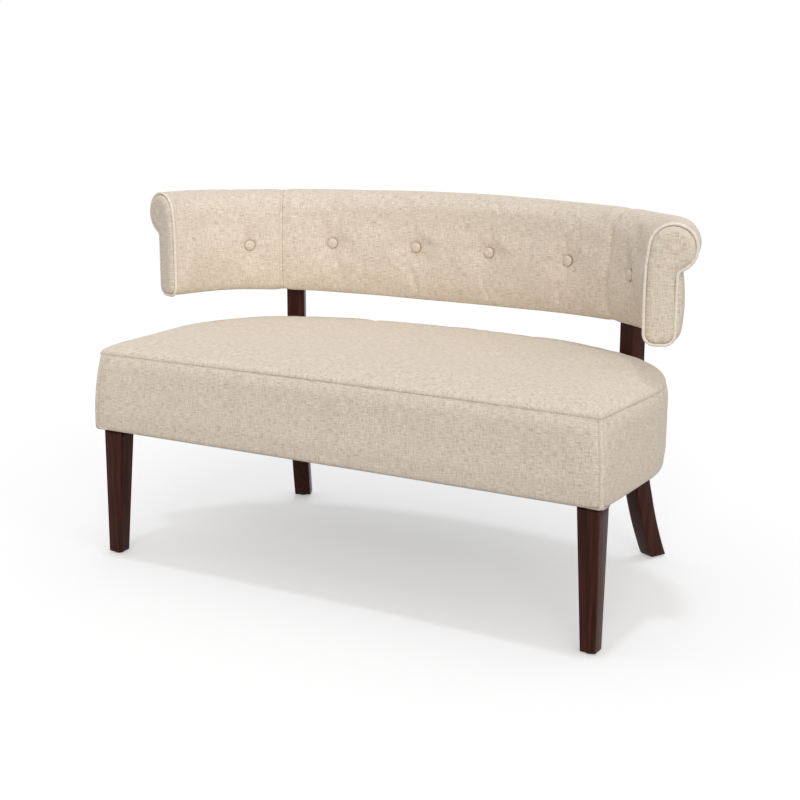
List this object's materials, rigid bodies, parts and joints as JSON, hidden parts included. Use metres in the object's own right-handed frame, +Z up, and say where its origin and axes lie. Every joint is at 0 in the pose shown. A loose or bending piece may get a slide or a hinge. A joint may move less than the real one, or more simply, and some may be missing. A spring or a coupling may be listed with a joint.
{
  "type": "settee",
  "caption": "Low settee with a buttoned back that curves round into both arms above a tufted upholstered seat, on tapered wooden legs",
  "frame": {"origin": "on the floor, midway across the width and the depth", "axes": "+Z up, +X to the right of someone looking at the front, front faces -Y"},
  "size_m": [1.2632, 0.61, 0.743],
  "materials": {
    "cover_fabric": "matte slub weave",
    "piping_fabric": "matte",
    "dark_wood": "satin",
    "frame_wood": "matte",
    "foam": "matte",
    "wadding": "matte",
    "webbing": "matte",
    "lining_cloth": "matte",
    "thread": "matte",
    "steel": "satin",
    "glide_plastic": "matte"
  },
  "bodies": {
    "root": {"front_rail": "frame_wood", "back_rail": "frame_wood", "side_rail_left": "frame_wood", "side_rail_right": "frame_wood", "corner_post_left": "frame_wood", "corner_post_right": "frame_wood", "rear_blocks": "frame_wood", "centre_brace": "frame_wood", "frame_dowels": "frame_wood", "leg_packings": "frame_wood", "back_shell": "frame_wood", "back_top_rail": "frame_wood", "end_former_left": "frame_wood", "end_former_right": "frame_wood", "seat_straps_long": "webbing", "seat_straps_cross": "webbing", "deck_cloth": "lining_cloth", "dust_cover": "lining_cloth", "seat_foam": "foam", "back_foam_centre": "foam", "back_foam_left": "foam", "back_foam_right": "foam", "seat_wadding": "wadding", "seat_front_padding": "wadding", "seat_left_padding": "wadding", "seat_rear_padding": "wadding", "seat_right_padding": "wadding", "roll_stuffing_centre": "wadding", "roll_stuffing_left": "wadding", "roll_stuffing_right": "wadding", "tuft_ties": "thread", "button_ties": "thread", "seat_top_cover": "cover_fabric", "seat_front_border": "cover_fabric", "seat_left_border": "cover_fabric", "seat_rear_border": "cover_fabric", "seat_right_border": "cover_fabric", "inside_back_centre": "cover_fabric", "inside_back_left": "cover_fabric", "inside_back_right": "cover_fabric", "outside_back": "cover_fabric", "back_buttons": "cover_fabric", "end_panel_left": "cover_fabric", "end_panel_right": "cover_fabric", "end_piping_left": "piping_fabric", "end_piping_right": "piping_fabric", "front_leg_left": "dark_wood", "front_leg_right": "dark_wood", "rear_leg_left": "dark_wood", "rear_leg_right": "dark_wood", "glide_front_left": "glide_plastic", "glide_front_right": "glide_plastic", "glide_rear_left": "glide_plastic", "glide_rear_right": "glide_plastic", "former_screws": "steel", "glide_nails": "steel", "front_leg_bolts": "steel", "rear_leg_bolts": "steel", "back_bolts": "steel", "back_spacers": "steel"}
  },
  "joints": []
}
